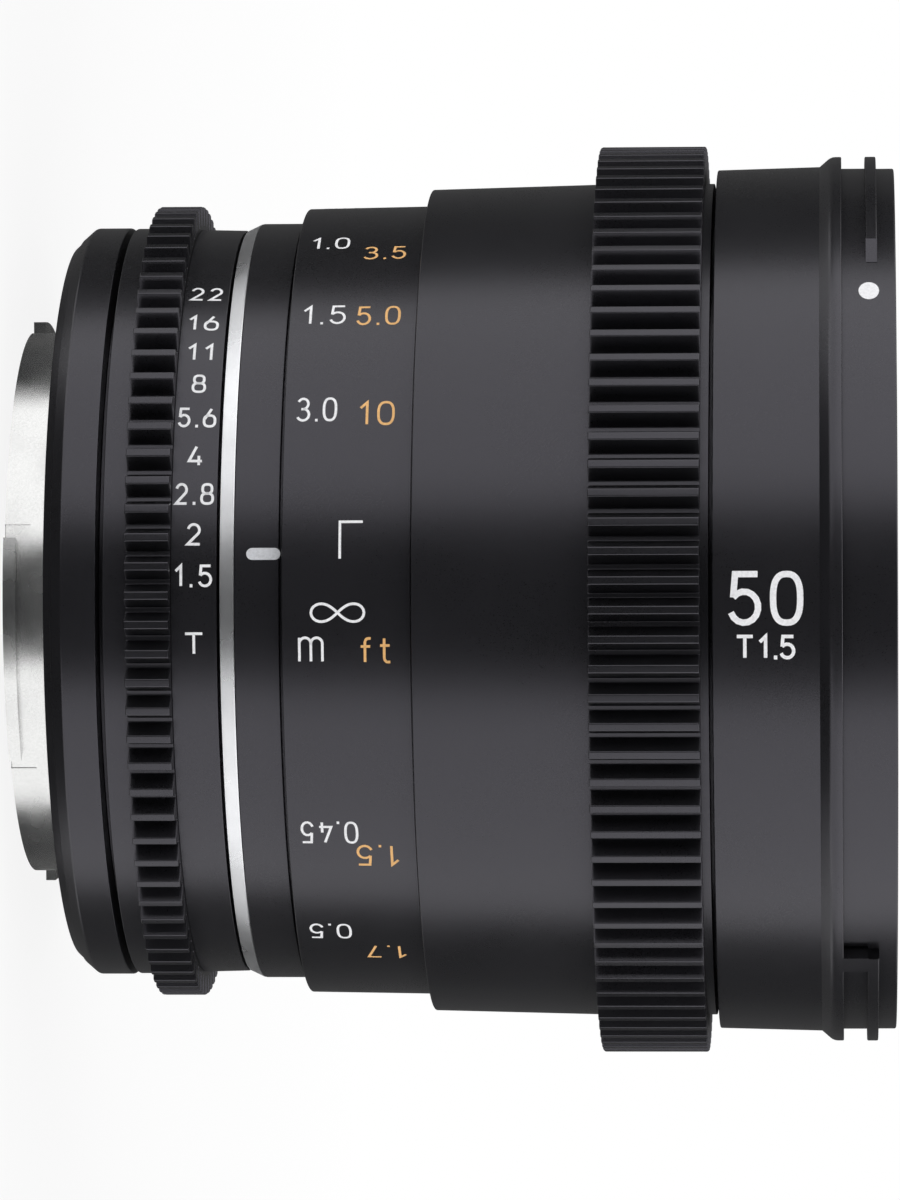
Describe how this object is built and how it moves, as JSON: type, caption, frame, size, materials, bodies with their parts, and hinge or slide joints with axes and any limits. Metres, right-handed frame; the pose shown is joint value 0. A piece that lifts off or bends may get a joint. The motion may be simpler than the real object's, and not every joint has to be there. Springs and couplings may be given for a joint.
{
  "type": "cinema prime lens",
  "caption": "Manual-focus cinema prime lens on a bayonet mount, with geared focus and iris rings, a sliding glass block and a bladed iris.",
  "frame": {"origin": "centre of the mount flange's face, on the optical axis", "axes": "+Z along the optical axis towards the subject; the lens stands on its bayonet, and the side with the scales faces -Y"},
  "size_m": [0.0832, 0.0832, 0.0793],
  "materials": {
    "black_anodised": "satin",
    "satin_silver": "satin",
    "stainless": "brushed",
    "black_steel": "matte",
    "brass": "satin",
    "black_plastic": "matte",
    "red_bead": "gloss",
    "coated_glass": "gloss"
  },
  "bodies": {
    "housing": {"mount_plate": "stainless", "rear_baffle": "black_plastic", "rear_housing": "black_anodised", "mount_index_bead": "red_bead", "accent_ring": "satin_silver", "index_ring": "black_anodised", "guide_sleeve": "black_anodised", "front_barrel": "black_anodised", "sleeve_nut": "black_anodised", "hood_ring": "black_anodised", "mount_screw_1": "stainless", "mount_screw_2": "stainless", "mount_screw_3": "stainless", "mount_screw_4": "stainless"},
    "focus_ring": {"focus_scale_ring": "black_anodised", "focus_barrel": "black_anodised", "focus_gear_ring": "black_anodised", "focus_cam_sleeve": "brass"},
    "optical_block": {"optical_barrel": "black_anodised", "front_cell": "black_anodised", "front_trim": "black_anodised", "front_retainer": "black_anodised", "front_spacer": "black_anodised", "doublet_retainer": "black_anodised", "rear_cell": "black_anodised", "middle_retainer": "black_anodised", "rear_spacer": "black_anodised", "rear_retainer": "black_anodised", "iris_housing": "black_anodised", "glass_1": "coated_glass", "glass_2": "coated_glass", "glass_3": "coated_glass", "glass_4": "coated_glass", "glass_5": "coated_glass", "glass_6": "coated_glass", "glass_7": "coated_glass", "glass_8": "coated_glass", "glass_9": "coated_glass", "follower_1": "brass", "follower_2": "brass", "follower_3": "brass"},
    "iris_ring": {"iris_ring": "black_anodised", "iris_lever": "black_steel"},
    "iris_cam_ring": {"iris_cam_ring": "black_steel"},
    "blade_1": {"iris_blade_1": "black_steel"},
    "blade_2": {"iris_blade_2": "black_steel"},
    "blade_3": {"iris_blade_3": "black_steel"},
    "blade_4": {"iris_blade_4": "black_steel"},
    "blade_5": {"iris_blade_5": "black_steel"},
    "blade_6": {"iris_blade_6": "black_steel"},
    "blade_7": {"iris_blade_7": "black_steel"},
    "blade_8": {"iris_blade_8": "black_steel"},
    "blade_9": {"iris_blade_9": "black_steel"}
  },
  "joints": [
    {"name": "focus", "type": "hinge", "parent": "housing", "child": "focus_ring", "pos_m": [0, 0, 0.04], "axis": [0, 0, 1], "range_deg": [0, 138.8]},
    {"name": "glass_travel", "type": "slide", "parent": "housing", "child": "optical_block", "axis": [0, 0, 1], "range_m": [0, 0.00743]},
    {"name": "iris", "type": "hinge", "parent": "housing", "child": "iris_ring", "pos_m": [0, 0, 0.0105], "axis": [0, 0, 1], "range_deg": [-3.4, 46.3]},
    {"name": "iris_cam", "type": "hinge", "parent": "optical_block", "child": "iris_cam_ring", "pos_m": [0, 0, 0.0326], "axis": [0, 0, 1], "range_deg": [-3.4, 46.3]},
    {"name": "blade_1_turn", "type": "hinge", "parent": "optical_block", "child": "blade_1", "pos_m": [0.023, 0, 0.0345], "axis": [0, 0, 1], "range_deg": [-2.3, 31.2]},
    {"name": "blade_2_turn", "type": "hinge", "parent": "optical_block", "child": "blade_2", "pos_m": [0.01762, 0.01478, 0.0345], "axis": [0, 0, 1], "range_deg": [-2.3, 31.2]},
    {"name": "blade_3_turn", "type": "hinge", "parent": "optical_block", "child": "blade_3", "pos_m": [0.00399, 0.02265, 0.0345], "axis": [0, 0, 1], "range_deg": [-2.3, 31.2]},
    {"name": "blade_4_turn", "type": "hinge", "parent": "optical_block", "child": "blade_4", "pos_m": [-0.0115, 0.01992, 0.0345], "axis": [0, 0, 1], "range_deg": [-2.3, 31.2]},
    {"name": "blade_5_turn", "type": "hinge", "parent": "optical_block", "child": "blade_5", "pos_m": [-0.02161, 0.00787, 0.0345], "axis": [0, 0, 1], "range_deg": [-2.3, 31.2]},
    {"name": "blade_6_turn", "type": "hinge", "parent": "optical_block", "child": "blade_6", "pos_m": [-0.02161, -0.00787, 0.0345], "axis": [0, 0, 1], "range_deg": [-2.3, 31.2]},
    {"name": "blade_7_turn", "type": "hinge", "parent": "optical_block", "child": "blade_7", "pos_m": [-0.0115, -0.01992, 0.0345], "axis": [0, 0, 1], "range_deg": [-2.3, 31.2]},
    {"name": "blade_8_turn", "type": "hinge", "parent": "optical_block", "child": "blade_8", "pos_m": [0.00399, -0.02265, 0.0345], "axis": [0, 0, 1], "range_deg": [-2.3, 31.2]},
    {"name": "blade_9_turn", "type": "hinge", "parent": "optical_block", "child": "blade_9", "pos_m": [0.01762, -0.01478, 0.0345], "axis": [0, 0, 1], "range_deg": [-2.3, 31.2]}
  ],
  "couplings": [
    {"joint": "glass_travel", "follows": "focus", "m_per_rad": 0.003067},
    {"joint": "iris_cam", "follows": "iris", "ratio": 1},
    {"joint": "blade_1_turn", "follows": "iris", "ratio": 0.67203},
    {"joint": "blade_2_turn", "follows": "iris", "ratio": 0.67203},
    {"joint": "blade_3_turn", "follows": "iris", "ratio": 0.67203},
    {"joint": "blade_4_turn", "follows": "iris", "ratio": 0.67203},
    {"joint": "blade_5_turn", "follows": "iris", "ratio": 0.67203},
    {"joint": "blade_6_turn", "follows": "iris", "ratio": 0.67203},
    {"joint": "blade_7_turn", "follows": "iris", "ratio": 0.67203},
    {"joint": "blade_8_turn", "follows": "iris", "ratio": 0.67203},
    {"joint": "blade_9_turn", "follows": "iris", "ratio": 0.67203}
  ]
}
